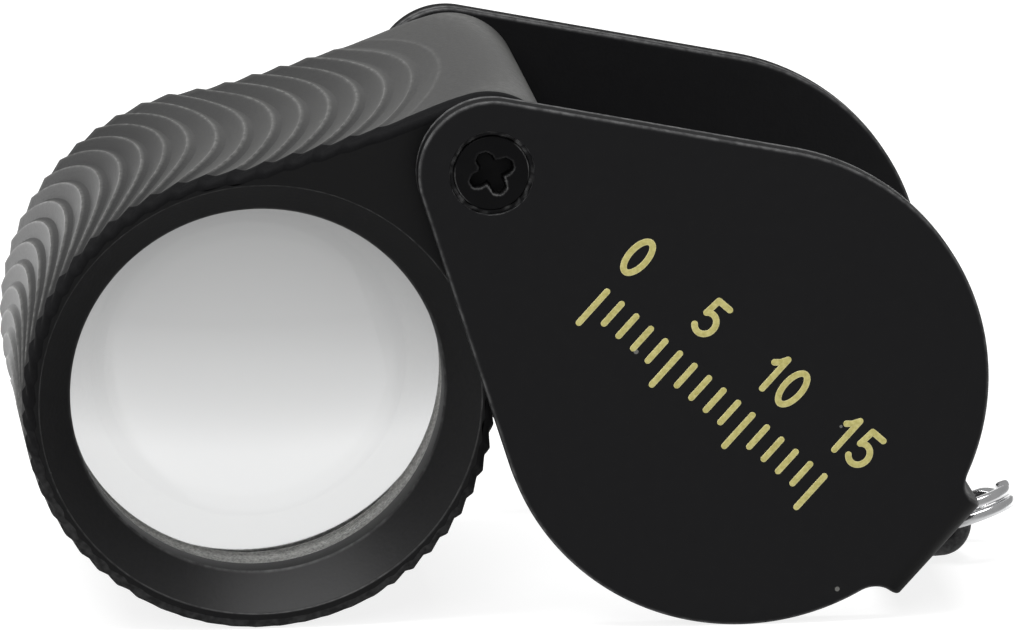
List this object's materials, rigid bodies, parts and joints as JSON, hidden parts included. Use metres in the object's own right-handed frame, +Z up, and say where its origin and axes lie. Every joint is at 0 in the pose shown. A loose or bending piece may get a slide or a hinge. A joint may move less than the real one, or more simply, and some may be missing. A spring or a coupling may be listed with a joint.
{
  "type": "folding triplet loupe",
  "caption": "Folding pocket loupe: a cemented triplet lens in a round-ended head that swings out of a folded sheet case on a screwed pivot, with a swivel eye and a small split ring.",
  "frame": {"origin": "on the optical axis, at the inner end of the eye side's funnel, with the loupe standing open", "axes": "+X towards the case's eye end, +Y along the optical axis away from the user's eye, +Z up"},
  "size_m": [0.0498, 0.0205, 0.0263],
  "materials": {
    "case_black": "fine satin powder coat",
    "head_black": "matte, finely textured",
    "anodised_black": "matte black anodised",
    "blackened_steel": "blackened, satin",
    "post_brass": "turned",
    "washer_nylon": "plain",
    "coated_glass": "polished, anti-reflection coated",
    "bright_chrome": "polished"
  },
  "bodies": {
    "case": {"swing_case": "case_black", "pivot_post": "post_brass", "front_pivot_screw": "blackened_steel", "rear_pivot_screw": "blackened_steel", "front_friction_washer": "washer_nylon", "rear_friction_washer": "washer_nylon"},
    "head": {"lens_housing": "head_black", "lens_barrel": "anodised_black", "front_flint_lens": "coated_glass", "crown_lens": "coated_glass", "rear_flint_lens": "coated_glass", "lens_retaining_ring": "anodised_black", "rear_bezel_ring": "head_black"},
    "eye": {"lanyard_eye": "blackened_steel", "eye_washer": "blackened_steel"},
    "ring": {"split_ring": "bright_chrome"}
  },
  "joints": [
    {"name": "head_swing", "type": "hinge", "parent": "case", "child": "head", "pos_m": [0.01082, 0.00683, 0.01137], "axis": [0, -1, 0], "continuous": true},
    {"name": "eye_swivel", "type": "hinge", "parent": "case", "child": "eye", "pos_m": [0.03439, 0.00683, -0.00953], "axis": [0.7481, 0, -0.6635], "continuous": true},
    {"name": "ring_swing", "type": "hinge", "parent": "eye", "child": "ring", "pos_m": [0.03439, 0.00683, -0.00953], "axis": [-0.2804, 0.9063, -0.3162], "range_deg": [-37, 153]}
  ]
}
